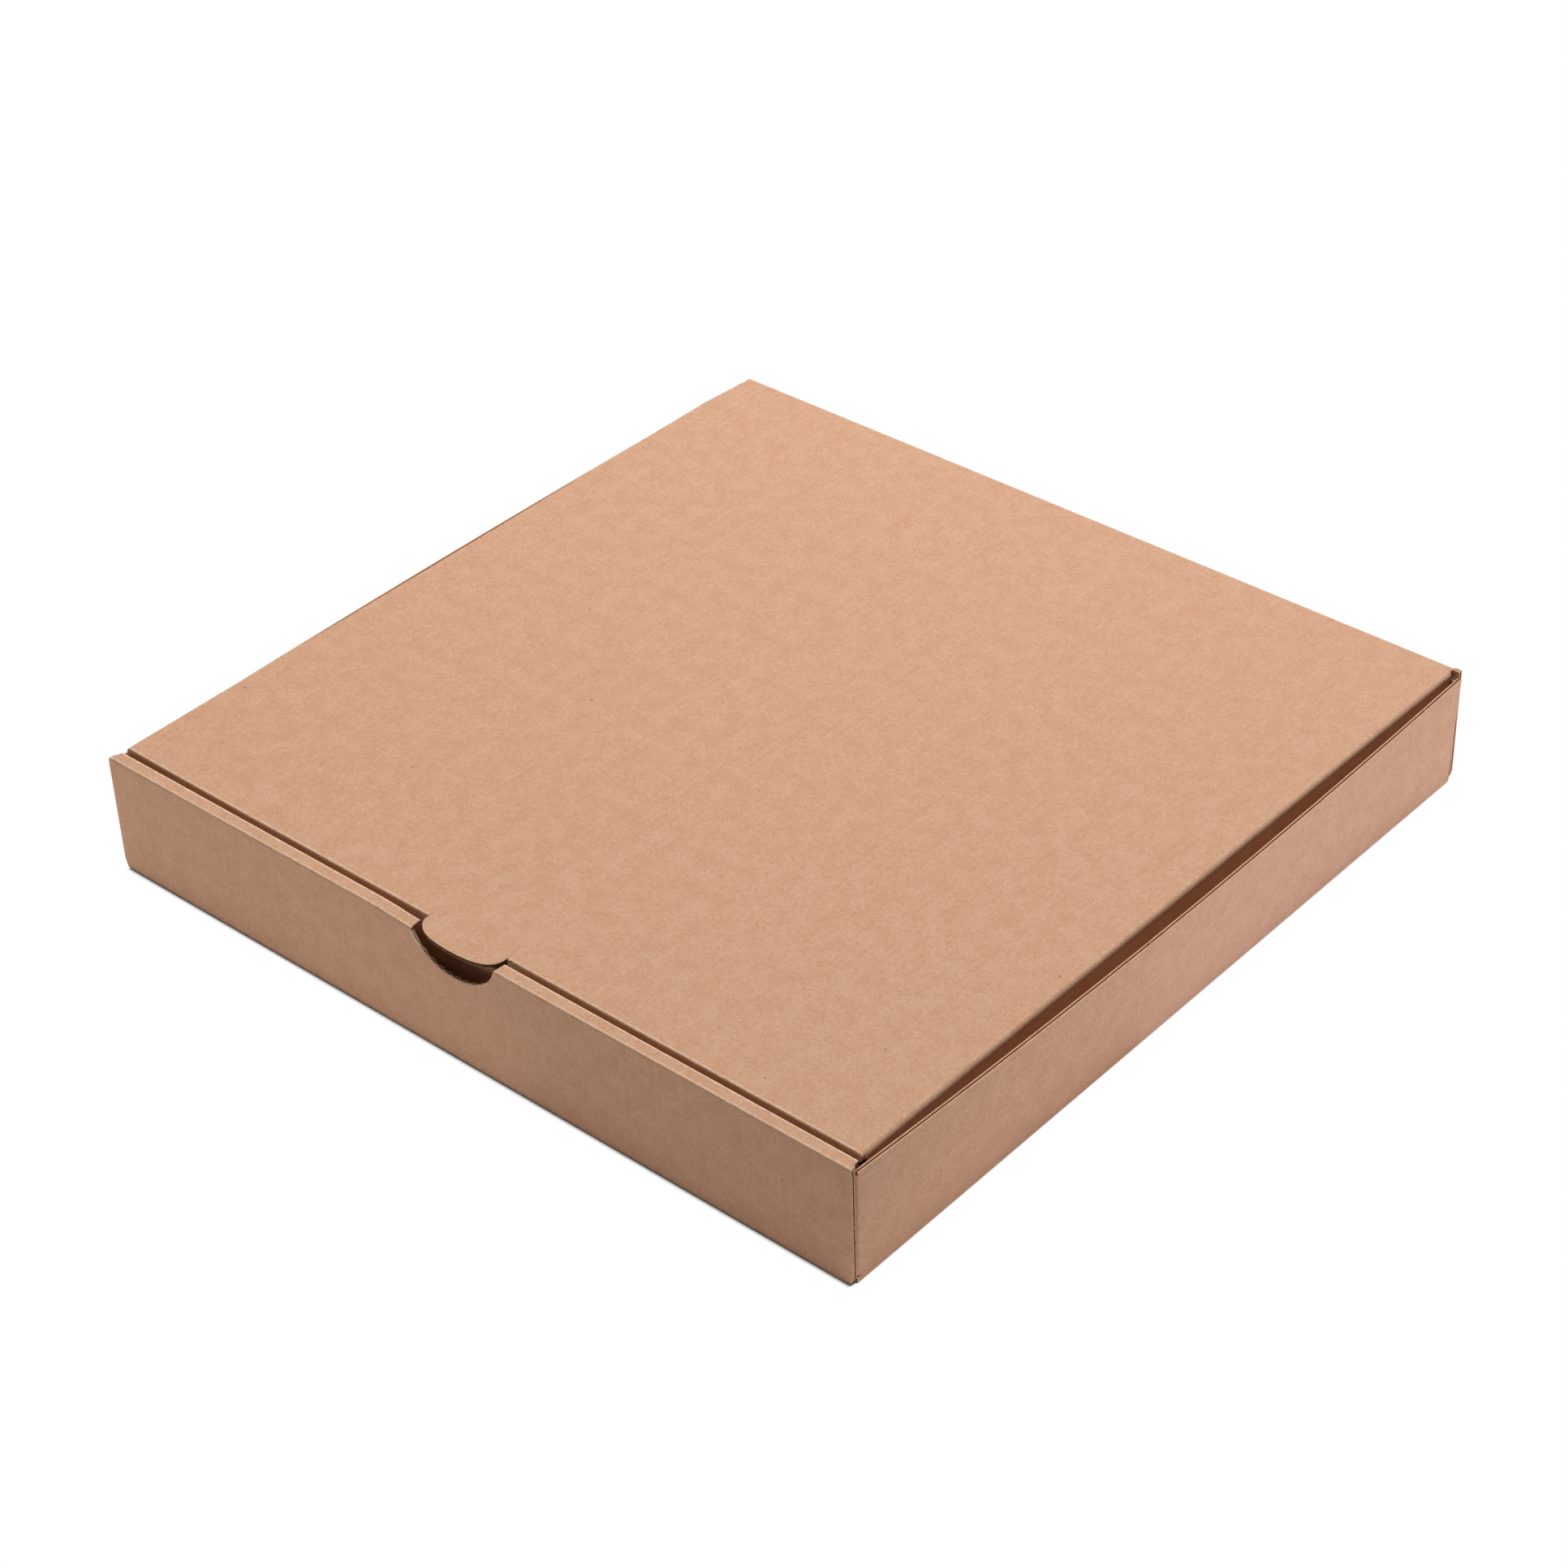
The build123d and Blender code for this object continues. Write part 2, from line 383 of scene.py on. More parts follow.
def spans(level, loops, axis):
    """The stretches of one fold row, or of one line across the rows, that lie on the board."""
    found = []
    for loop in loops:
        for start, stop in zip(loop.array, np.roll(loop.array, -1, axis=0)):
            if (start[axis] <= level) != (stop[axis] <= level):
                share = (level - start[axis]) / (stop[axis] - start[axis])
                found.append(start[1 - axis] + share * (stop[1 - axis] - start[1 - axis]))
    found.sort()
    return list(zip(found[::2], found[1::2]))


def near_line(points, loop, distance):
    """Which points lie closer than a distance to a closed line."""
    close = np.zeros(len(points), bool)
    for start, stop in zip(loop, np.roll(loop, -1, axis=0)):
        step = stop - start
        share = np.clip(((points - start) @ step) / max(step @ step, TINY**2), 0, 1)
        gap = points - start - share[:, None] * step
        close |= np.einsum("ij,ij->i", gap, gap) < distance * distance
    return close


def arc(centre, radii, begin, finish, count, power=2.0):
    """Points on an ellipse, or on a squarer curve for a power above two, between two angles in degrees."""
    made = []
    for step in range(count + 1):
        angle = math.radians(begin + (finish - begin) * step / count)
        c, s = math.cos(angle), math.sin(angle)
        across = math.copysign(abs(c) ** (2 / power), c)
        length = math.copysign(abs(s) ** (2 / power), s)
        made.append((centre[0] + radii[0] * across, centre[1] + radii[1] * length))
    return made


def soften(line, radius, steps=8):
    """An open line with each inner corner rounded."""
    made = [line[0]]
    for before, corner, after in zip(line, line[1:], line[2:]):
        corner = np.array(corner)
        back = np.array(before) - corner
        on = np.array(after) - corner
        trim = min(radius, LONGEST_TRIM * np.linalg.norm(back), LONGEST_TRIM * np.linalg.norm(on))
        first = corner + unit(back) * trim
        last = corner + unit(on) * trim
        for step in range(steps + 1):
            share = step / steps
            curve = first * (1 - share) ** 2 + corner * 2 * share * (1 - share) + last * share**2
            made.append(tuple(curve))
    made.append(line[-1])
    return made


def mirror(line):
    return [(-across, length) for across, length in reversed(line)]


class Sheet:
    """Mesh of one folded sheet: both faces, and at raw cuts the liners' lips and the waves between."""

    def __init__(self):
        self.places = []
        self.flats = []
        self.wears_and_highlights = []
        self.faces = []
        self.finishes = []
        self.count = 0

    def add(self, places, flats, wears_and_highlights):
        base = self.count
        self.places.append(places.reshape(-1, 3))
        self.flats.append(flats.reshape(-1, 3))
        self.wears_and_highlights.append(np.broadcast_to(wears_and_highlights, places.shape[:-1]).reshape(-1))
        self.count += len(self.places[-1])
        return base

    def grid(self, strip, across, length, depth, finish, outward):
        """A patch of quads that faces the way outward points, with one finish or one for each row."""
        places = strip.place(across, length, depth)
        flats = strip.sheet(across, length, depth)
        wears_and_highlights = strip.path.wear_and_highlight(np.broadcast_to(length, places.shape[:-1]))
        base = self.add(places, flats, wears_and_highlights)
        rows, columns = places.shape[:2]
        sides = np.cross(places[1:, :-1] - places[:-1, :-1], places[:-1, 1:] - places[:-1, :-1])
        turned = np.sum(sides * outward[:-1, None]) < 0
        finish = np.broadcast_to(finish, rows - 1)
        for row in range(rows - 1):
            for column in range(columns - 1):
                corner = base + row * columns + column
                quad = (corner, corner + columns, corner + columns + 1, corner + 1)
                self.faces.append(quad[::-1] if turned else quad)
                self.finishes.append(finish[row])

    def skin(self, strip, loops):
        """Both faces of the board within its cutting lines."""
        points = []
        edges = []
        for loop in loops:
            base = len(points)
            size = len(loop.points)
            points.extend(loop.points)
            edges.extend((base + step, base + (step + 1) % size) for step in range(size))
        rows = [(level, 1) for level in strip.path.fold_rows()]
        rows += [(line, 0) for line in strip.lines]
        for level, axis in rows:
            for low, high in spans(level, loops, axis):
                count = max(1, math.ceil((high - low) / ROW_STEP))
                base = len(points)
                for place in np.linspace(low, high, count + 1):
                    points.append((place, level) if axis else (level, place))
                edges.extend((base + step, base + step + 1) for step in range(count))
        outline = loops[0].array
        low, high = outline.min(axis=0), outline.max(axis=0)
        across = np.arange(low[0] + GRID / 2, high[0], GRID)
        length = np.arange(low[1] + GRID / 2, high[1], GRID)
        loose = np.stack(np.meshgrid(across, length), -1).reshape(-1, 2)
        keep = inside(loose, outline)
        for loop in loops:
            keep &= ~near_line(loose, loop.array, CLEAR)
            if loop is not loops[0]:
                keep &= ~inside(loose, loop.array)
        for begin, _, finish in strip.path.folds:
            keep &= (loose[:, 1] < begin - CLEAR) | (loose[:, 1] > finish + CLEAR)
        points.extend(map(tuple, loose[keep]))
        flat = [Vector((across / MM, length / MM)) for across, length in points]
        made, _, triangles, _, _, _ = delaunay_2d_cdt(flat, edges, [], 1, WELD_MM)
        made = np.array([tuple(point) for point in made]) * MM
        triangles = np.array(triangles)
        middles = made[triangles].mean(axis=1)
        keep = inside(middles, outline)
        for loop in loops[1:]:
            keep &= ~inside(middles, loop.array)
        triangles = triangles[keep]
        across, length = made[:, 0], made[:, 1]
        wears_and_highlights = strip.path.wear_and_highlight(length)
        outer = strip.place(across, length, 0.0)
        inner = strip.place(across, length, BOARD)
        for places, depth, facing in ((outer, 0.0, outer - inner), (inner, BOARD, inner - outer)):
            base = self.add(places, strip.sheet(across, length, depth), wears_and_highlights)
            a, b, c = (places[triangles[:, corner]] for corner in range(3))
            sides = np.cross(b - a, c - a)
            turned = np.sum(sides * facing[triangles[:, 0]]) < 0
            order = triangles[:, ::-1] if turned else triangles
            self.faces.extend(map(tuple, order + base))
            self.finishes.extend([FACE] * len(order))

    def cut(self, strip, line, inward, kind):
        """The raw edge along one cut, with the open flutes behind it."""
        ahead = np.diff(line, axis=0)
        ahead /= np.linalg.norm(ahead, axis=1)[:, None]
        tangent = np.vstack((ahead[:1], ahead[:-1] + ahead[1:], ahead[-1:]))
        tangent /= np.linalg.norm(tangent, axis=1)[:, None]
        normal = inward * np.stack((-tangent[:, 1], tangent[:, 0]), -1)
        u, v = strip.flat(line[:, 0], line[:, 1])
        u_step, v_step = np.gradient(u), np.gradient(v)
        crossing = np.abs(u_step) / np.maximum(np.hypot(u_step, v_step), TINY)
        crossing = crossing * (kind != PRESSED)
        shut_depth = PRESSED_FLUTE if kind == PRESSED else SHUT_FLUTE
        deep = shut_depth + (OPEN_FLUTE - shut_depth) * crossing
        depths = deep[:, None] * np.linspace(0, 1, FLUTE_STEPS + 1)
        across = line[:, :1] + normal[:, :1] * depths
        length = line[:, 1:] + normal[:, 1:] * depths
        rim = strip.place(line[:, 0], line[:, 1], BOARD / 2)
        into = strip.place(across[:, 1], length[:, 1], BOARD / 2) - rim
        down = strip.place(line[:, 0], line[:, 1], BOARD) - strip.place(line[:, 0], line[:, 1], 0.0)
        crossing = crossing[:, None]
        lip = PRESSED_LINER + (LINER - PRESSED_LINER) * crossing
        sway = crossing * np.sin(2 * math.pi * strip.flat(across, length)[0] / FLUTE) + 1 - crossing
        middle = BOARD / 2 + (BOARD - 2 * lip - MEDIUM) / 2 * sway
        ends = slice(None, None, FLUTE_STEPS)
        first = slice(0, 1)
        last = slice(FLUTE_STEPS, None)
        low, high = lip, BOARD - lip
        upper, lower = middle - MEDIUM / 2, middle + MEDIUM / 2
        # Cuts across the flutes show pale lips, paler paper lightened as a painted highlight; the waved
        # sheet, the flute walls and their back are painted dark as the shade inside the board
        pale = np.where(crossing[:-1, 0] > OPEN_SHARE, EDGE, FACE)
        # Below the tab and the window the inner lip and the medium's edge, and in the notch the inner lip,
        # are painted dark as the shade under them
        under = WAVED_SHADED if kind in (SHADED_UNDER, SHADED_LIP) else pale
        crest = WAVED_SHADED if kind == SHADED_UNDER else pale
        outer = np.zeros_like(lip)
        inner = np.full_like(lip, BOARD)
        for top, bottom, finish in ((outer, low, pale), (high, inner, under)):
            self.grid(strip, across[:, first], length[:, first], np.hstack((top, bottom)), finish, -into)
        self.grid(strip, across[:, ends], length[:, ends], low, WAVED_SHADED, down)
        self.grid(strip, across[:, ends], length[:, ends], high, WAVED_SHADED, -down)
        self.grid(strip, across, length, upper, WAVED_SHADED, -down)
        self.grid(strip, across, length, lower, WAVED_SHADED, down)
        edge = np.hstack((upper[:, first], lower[:, first]))
        # The medium's edge between the lips: pale with a painted highlight, or painted dark as shade
        shut = np.where(pale == EDGE, crest, FACE if kind == PRESSED else WAVED_SHADED)
        self.grid(strip, across[:, first], length[:, first], edge, shut, -into)
        back = np.hstack((low, high))
        # The back that closes each flute, painted dark as the shade deep inside it
        self.grid(strip, across[:, last], length[:, last], back, WAVED_SHADED, -into)

    def tuft(self, strip, across, length, inward):
        """Torn fibres where a nick held the cut blank in its sheet, as thin closed slivers."""
        root = strip.place(across, length, BOARD / 2)
        behind = strip.place(across + inward[0], length + inward[1], BOARD / 2)
        out = unit(root - behind)
        thick = unit(strip.place(across, length, BOARD) - strip.place(across, length, 0.0))
        along = np.cross(out, thick)
        for _ in range(TUFT_FIBRES):
            lean = rng.uniform(-1, 1, 2)
            sideways = TUFT_WIDTH * rng.uniform(-0.5, 0.5)
            through = BOARD * rng.uniform(-0.4, 0.4)
            foot = root + along * sideways + thick * through
            way = unit(out + along * lean[0] + thick * TUFT_SPLAY * lean[1])
            tip = foot + way * TUFT_LENGTH * rng.uniform(0.5, 1.0)
            foot = foot - out * TUFT_THICK
            turns = np.radians((0, 120, 240)) + rng.uniform(0, 2)
            ring = foot + TUFT_THICK * (np.cos(turns)[:, None] * along + np.sin(turns)[:, None] * thick)
            places = np.vstack((ring, tip))
            # The torn fibres take the pale fold tone in full: rubbed paper and a painted highlight
            base = self.add(places, np.repeat(strip.sheet(across, length, 0.0)[None], 4, 0), 1.0)
            corners = ((0, 1, 2), (0, 3, 1), (1, 3, 2), (2, 3, 0))
            turned = np.dot(np.cross(ring[1] - ring[0], ring[2] - ring[0]), tip - foot) > 0
            for corner in corners:
                order = corner[::-1] if turned else corner
                self.faces.append(tuple(base + step for step in order))
                self.finishes.append(EDGE)

    def build(self, strip, *loops):
        self.skin(strip, loops)
        for loop in loops:
            for line, kind in loop.cuts:
                self.cut(strip, line, loop.inward, kind)

    def object(self, name, finishes):
        mesh = bpy.data.meshes.new(name)
        faces = [list(map(int, face)) for face in self.faces]
        mesh.from_pydata(np.concatenate(self.places).tolist(), [], faces)
        flats = mesh.attributes.new("sheet", "FLOAT_VECTOR", "POINT")
        flats.data.foreach_set("vector", np.concatenate(self.flats).astype(np.float32).ravel())
        # Paleness along the folds: rubbed paper and a painted highlight
        wears_and_highlights = mesh.attributes.new("wear_and_highlight", "FLOAT", "POINT")
        wears_and_highlights.data.foreach_set("value", np.concatenate(self.wears_and_highlights).astype(np.float32))
        for finish in finishes:
            mesh.materials.append(finish)
        mesh.polygons.foreach_set("material_index", np.array(self.finishes, np.int32))
        mesh.polygons.foreach_set("use_smooth", np.ones(len(self.faces), bool))
        mesh.set_sharp_from_angle(angle=SHARP_ANGLE)
        mesh.validate()
        mesh.update()
        made = bpy.data.objects.new(name, mesh)
        bpy.context.scene.collection.objects.link(made)
        return made


def wall_shift(xyz):
    """How far the side walls stand out and rise: they lean at the top, and bow most midway along."""
    right = xyz[..., 0] > 0
    along = np.clip(xyz[..., 1] / WALL, -1, 1)
    height = np.clip((xyz[..., 2] - BOARD) / (SIDE_TOP - BOARD), 0, 1)
    caught = 1 - CATCH * np.clip(-along, 0, 1) ** 2
    lean = np.where(right, LEAN[1], LEAN[-1]) * caught
    bow = np.where(right, BOW[1], BOW[-1]) * (1 - along**2)
    rise = right * np.where(along > 0, REAR_RISE, FRONT_RISE) * along**2
    return (lean + bow) * height, rise * height


def side_lean(xyz):
    """The side walls lean out and draw their ears along."""
    bent = xyz.copy()
    shift, rise = wall_shift(xyz)
    root = np.clip((np.abs(xyz[..., 0]) - HALF + EAR_LENGTH) / (EAR_LENGTH - BOARD), 0, 1)
    bent[..., 0] += np.sign(xyz[..., 0]) * shift * root
    bent[..., 2] += rise * root
    return bent


def ridge_dip(xyz):
    """Left of the thumb notch the rolled edge is pressed down a little."""
    bent = xyz.copy()
    near = np.exp(-(((xyz[..., 0] + NOTCH_HALF) / DIP_LENGTH) ** 2)) * (xyz[..., 1] < LID_FRONT)
    high = np.clip((xyz[..., 2] - DIP_FOOT) / (TOP - DIP_FOOT), 0, 1)
    bent[..., 2] -= DIP * near * high
    return bent


def lid_sway(xyz):
    """The lid sits a little to the left, and its left edge lifts over the wall."""
    bent = xyz.copy()
    left = np.clip((-xyz[..., 0] - SWAY_START) / (LID_HALF - SWAY_START), 0, 1) ** 2
    above = np.clip((xyz[..., 2] - SWAY_FOOT) / SWAY_RISE, 0, 1)
    ahead = np.clip((HINGE_Y - xyz[..., 1]) / SWAY_REAR, 0, 1)
    bent[..., 0] -= SWAY * left * above * ahead
    bent[..., 2] += LIFT * left * above * ahead
    return bent


def lid_round(xyz):
    """Past its panel the lid's front edge drops with the side folds."""
    bent = xyz.copy()
    past = np.clip(np.abs(xyz[..., 0]) - LID_HALF + SIDE_FOLD, 0, SIDE_FOLD)
    settle = np.clip((HINGE_Y - xyz[..., 1]) / SETTLE, 0, 1)
    bent[..., 2] -= (SIDE_FOLD - np.sqrt(SIDE_FOLD * SIDE_FOLD - past * past)) * settle
    return lid_sway(bent)


def tray_main():
    """Inner front panel, roll-over edge, front wall, floor and back wall, as one run of the sheet."""
    corners = (
        (ROLL_INNER, LOCK_RECESS),
        (ROLL_INNER, TOP),
        (FRONT, TOP),
        (FRONT, 0),
        (REAR, 0),
        (REAR, TOP),
    )
    crown = (INNER_CROWN, UPPER_CROWN, CROWN, CROWN)
    zero = FoldPath(corners, 1, radius=FRONT_FOLD).folds[2][2] - (FRONT + REACH)
    path = FoldPath(corners, 1, -zero, radius=FRONT_FOLD, crown=crown)
    dips = [-NOTCH_HALF + DIP_LENGTH * share for share in DIP_LINES]
    strip = Strip(path, lambda a, p, q: (a, p, q), lambda a, s: (a, s), ridge_dip, dips)
    inner_top, outer_top, front_foot, rear_foot = path.folds
    foot = path.start + ROLL_FOOT - LOCK_RECESS
    hinge = path.end - REACH
    floor_half = HALF - REACH
    horn = CREASE_HALF + HORN_GAP
    foot_line = [(-ROLL_HALF, foot)]
    for place in (-LOCK_PLACE, LOCK_PLACE):
        half = LOCK_WIDTH / 2
        foot_line += [
            (place - half, foot),
            (place - half + LOCK_TAPER / 4, path.start),
            (place + half - LOCK_TAPER / 4, path.start),
            (place + half, foot),
        ]
    foot_line.append((ROLL_HALF, foot))
    front_end = [
        (ROLL_HALF, foot),
        (ROLL_HALF, inner_top[0]),
        (ROLL_HALF + RIDGE_DRAW, inner_top[2]),
        (HALF - END_DRAW, outer_top[0]),
        (HALF, outer_top[2]),
        (HALF, front_foot[0] - CORNER),
        (HALF - END_DRAW, front_foot[0]),
        (floor_half, front_foot[2]),
    ]
    floor_edge = [(floor_half, front_foot[2]), (floor_half, rear_foot[0])]
    back_end = [
        (floor_half, rear_foot[0]),
        (HALF - END_DRAW, rear_foot[2]),
        (HALF, rear_foot[2] + CORNER),
        (HALF, path.end),
    ]
    tip = [(HALF, path.end), (horn, path.end), (horn, hinge)]
    left_end = [*back_end[:-1], (HALF, path.end - LEFT_HORN)]
    left_tip = [(HALF, path.end - LEFT_HORN), (horn, path.end - LEFT_HORN / 2), (horn, hinge)]
    outline = Loop(
        strip,
        [
            (ACROSS, RAW, foot_line),
            (ALONG, RAW, front_end),
            (ROW_STEP, JOIN, floor_edge),
            (ALONG, RAW, back_end),
            (ALONG, PRESSED, tip),
            (ROW_STEP, JOIN, [(horn, hinge), (-horn, hinge)]),
            (ALONG, PRESSED, mirror(left_tip)),
            (ALONG, RAW, mirror(left_end)),
            (ROW_STEP, JOIN, mirror(floor_edge)),
            (ALONG, RAW, mirror(front_end)),
        ],
    )
    holes = []
    roll_middle = (inner_top[1] + outer_top[1]) / 2
    roll_half = (outer_top[1] - inner_top[1]) / 2
    notch = arc((0, roll_middle), (NOTCH_HALF, NOTCH_DEPTH + roll_half), 0, 180, CURVE_STEPS)
    flare = [
        (-NOTCH_HALF, roll_middle),
        (-NOTCH_HALF - NOTCH_DRAW, inner_top[0]),
        (-NOTCH_WIDE, inner_top[0] - NOTCH_FLARE),
        (-NOTCH_WIDE + NOTCH_TAPER, inner_top[0] + REACH - NOTCH_INNER),
    ]
    notch += soften(flare + mirror(flare), NOTCH_ROUND)[1:]
    # The notch's inner lip is painted dark as shade
    holes.append(Loop(strip, [(FINE, SHADED_LIP, notch)], hole=True))
    slot_middle = ROLL_INNER - BOARD / 2
    for place in (-LOCK_PLACE, LOCK_PLACE):
        wide = LOCK_WIDTH / 2 + LOCK_GAP
        deep = BOARD / 2 + LOCK_GAP
        slot = [
            (place - wide, slot_middle - deep),
            (place + wide, slot_middle - deep),
            (place + wide, slot_middle + deep),
            (place - wide, slot_middle + deep),
            (place - wide, slot_middle - deep),
        ]
        holes.append(Loop(strip, [(SLOT_ACROSS, RAW, slot)], hole=True))
    return strip, [outline, *holes]


def tray_side(side):
    """One side wall, folded up from the floor."""
    path = FoldPath(((HALF - REACH, 0), (HALF, 0), (HALF, SIDE_TOP)), 1, HALF - REACH)
    strip = Strip(path, lambda a, p, q: (side * p, a, q), lambda a, s: (side * s, a), side_lean)
    fold_end = path.folds[0][2]

    def height(z):
        return fold_end + z - REACH

    foot = REAR - REACH
    ear = WALL - REACH
    lip = WALL - SIDE_END_GAP
    base = height(EAR_FOOT)
    head = height(EAR_TOP)
    lower = [(foot, path.start), (foot, path.folds[0][1]), (foot, base - EAR_FOOT_CUT), (ear, base)]
    joint = [(ear, base), (ear, head)]
    upper = [(ear, head), (lip, head + EAR_TOP_CUT), (lip, path.end)]
    outline = Loop(
        strip,
        [
            (ROW_STEP, JOIN, [(-foot, path.start), (foot, path.start)]),
            (ALONG, RAW, lower),
            (ALONG, JOIN, joint),
            (ALONG, RAW, upper),
            (ALONG, RAW, [(lip, path.end), (-lip, path.end)]),
            (ALONG, RAW, mirror(upper)),
            (ALONG, JOIN, mirror(joint)),
            (ALONG, RAW, mirror(lower)),
        ],
    )
    return strip, [outline]


def tray_ear(side, end):
    """A glue-free ear of a side wall, tucked behind the front or back wall."""
    corners = ((HALF, WALL - REACH), (HALF, WALL), (HALF - EAR_LENGTH, WALL))
    path = FoldPath(corners, 1, WALL - REACH, 0.0)
    strip = Strip(
        path,
        lambda a, p, q: (side * p, end * q, a),
        lambda a, s: (side * (HALF + a), end * s),
        side_lean,
    )
    fold = path.folds[0]
    free = [
        (EAR_TOP, path.start),
        (EAR_TOP, fold[2]),
        (EAR_TOP - EAR_TAPER, path.end),
        (EAR_FOOT + EAR_TAPER, path.end),
        (EAR_FOOT, fold[2]),
        (EAR_FOOT, path.start),
    ]
    free = free[:1] + soften(free[1:-1], EAR_ROUND) + free[-1:]
    root = [(EAR_FOOT, path.start), (EAR_TOP, path.start)]
    outline = Loop(strip, [(ALONG, JOIN, root), (EAR_ACROSS, RAW, free)])
    return strip, [outline]


def lid_length(y):
    return LID_START + HINGE_Y - y


def lid_main():
    """Lid panel and the front flap that tucks in, with the window that the thumb tab leaves."""
    corners = ((HINGE_Y, TOP), (LID_FRONT, TOP), (LID_FRONT, TOP - TUCK_DEPTH))
    path = FoldPath(corners, 1, LID_START, radius=FRONT_FOLD, crown=UPPER_CROWN)
    panel = LID_HALF - SIDE_FOLD
    lines = []
    for side in (-1, 1):
        lines += [side * (panel + share * CORNER_SHARE * SIDE_FOLD) for share in CORNER_LINES]
        lines += [side * place for place in (SWAY_START, (SWAY_START + panel) / 2)]
    strip = Strip(path, lambda a, p, q: (a, p, q), lambda a, s: (a, s), lid_round, lines)
    begin, middle, finish = path.folds[0]
    corner = panel + CORNER_SHARE * SIDE_FOLD
    rear = lid_length(SIDE_REAR)
    shoulder = (LID_HALF - FLAP_INSET, finish + FLAP_SHOULDER)
    rear_end = [(CREASE_HALF, LID_START), (CREASE_HALF, rear), (panel, rear)]
    seam = [(panel, rear), (panel, begin), (corner, begin)]
    free = [(corner, begin), (corner, finish), shoulder]
    flap = [shoulder, (shoulder[0] - TUCK_TAPER, path.end)]
    outline = Loop(
        strip,
        [
            (ALONG, PRESSED, rear_end),
            (ROW_STEP, JOIN, seam),
            (ALONG, PRESSED, free),
            (ACROSS, RAW, soften(flap + mirror(flap), TUCK_ROUND)),
            (ALONG, PRESSED, mirror(free)),
            (ROW_STEP, JOIN, mirror(seam)),
            (ALONG, PRESSED, mirror(rear_end)),
            (ROW_STEP, JOIN, [(-CREASE_HALF, LID_START), (CREASE_HALF, LID_START)]),
        ],
    )
    root = begin - TAB_ROOT
    reach = LID_FRONT - lid_low.y
    opening = arc((0, middle), (TAB_HALF, reach), 0, 180, CURVE_STEPS, TAB_POWER)
    cut = [(TAB_HALF, root), *opening, (-TAB_HALF, root)]
    # Below the window's cut the board's edge is painted dark as shade
    window = [(ROW_STEP, JOIN, [(-TAB_HALF, root), (TAB_HALF, root)]), (FINE, SHADED_UNDER, cut)]
    return strip, [outline, Loop(strip, window, hole=True)]


def lid_tab():
    """The thumb tab, cut from the front flap, that stays in the plane of the lid."""
    root = LID_FRONT + REACH + TAB_ROOT
    tip = lid_low.y
    path = FoldPath(((root, TOP), (tip - TAB_SPARE, TOP)), 1, lid_length(root))
    strip = Strip(path, lambda a, p, q: (a, p, q), lambda a, s: (a, s))
    reach = LID_FRONT - tip
    half = TAB_HALF - TAB_CUT
    bow = arc((0, lid_length(LID_FRONT)), (half, reach), 0, 180, CURVE_STEPS, TAB_POWER)
    rim = [(TAB_HALF, path.start), *bow, (-TAB_HALF, path.start)]
    base = [(-TAB_HALF, path.start), (TAB_HALF, path.start)]
    # Below the tab's rim the board's edge is painted dark as shade
    return strip, [Loop(strip, [(ROW_STEP, JOIN, base), (FINE, SHADED_UNDER, rim)])]


def lid_flap(side):
    """A side flap of the lid, folded down inside the side wall."""
    panel = LID_HALF - SIDE_FOLD
    corners = ((panel, TOP), (LID_HALF, TOP), (LID_HALF, TOP - FLAP_DEPTH))
    extra = [TOP - SIDE_FOLD - SWAY_FOOT - share * SWAY_RISE for share in SWAY_SHARES]
    extra += [extra[-1] + run for run in SWAY_RUNS]
    path = FoldPath(corners, -1, panel, FLAP_RUB_AND_HIGHLIGHT, SIDE_FOLD, SIDE_FOLD - BOARD, FLAP_CROWN, extra)
    strip = Strip(path, lambda a, p, q: (side * p, a, q), lambda a, s: (side * s, lid_length(a)), lid_sway)
    begin, _, finish = path.folds[0]
    front = LID_FRONT + REACH
    seam = begin + SIDE_FOLD * math.asin(CORNER_SHARE)
    shoulder = (LID_FRONT + FLAP_INSET, finish + FLAP_SHOULDER)
    heel = (FLAP_REAR + FLAP_REAR_DRAW, finish)
    front_end = [(front, seam), (front - FLAP_FRONT_DRAW, finish), shoulder]
    flap = [
        shoulder,
        (shoulder[0] + FLAP_TAPER, path.end),
        (FLAP_REAR - FLAP_TAPER, path.end),
        heel,
    ]
    rear_end = [heel, (SIDE_REAR, begin)]
    outline = Loop(
        strip,
        [
            (ROW_STEP, JOIN, [(SIDE_REAR, begin), (front, begin), (front, seam)]),
            (ALONG, PRESSED, front_end),
            (ALONG, RAW, soften(flap, FLAP_ROUND)),
            (ALONG, PRESSED, rear_end),
        ],
    )
    return strip, [outline]


def crease():
    """The strip of board that bends at the hinge."""
    corners = ((REAR, TOP - REACH), (REAR, TOP), (REAR - REACH, TOP))
    start = LID_START - (2 * (REACH - FOLD) + FOLD * math.pi / 2)
    path = FoldPath(corners, 1, start)
    strip = Strip(path, lambda a, p, q: (a, p, q), lambda a, s: (a, s))
    end = [(CREASE_HALF, path.start), (CREASE_HALF, path.end)]
    outline = Loop(
        strip,
        [
            (ROW_STEP, JOIN, [(-CREASE_HALF, path.start), (CREASE_HALF, path.start)]),
            (ALONG, PRESSED, end),
            (ROW_STEP, JOIN, [(CREASE_HALF, path.end), (-CREASE_HALF, path.end)]),
            (ALONG, PRESSED, mirror(end)),
        ],
    )
    return strip, [outline]


# Rays that see the floor and the world as plain white
BACKGROUND_RAYS = ("Is Camera Ray", "Is Glossy Ray", "Is Transmission Ray")


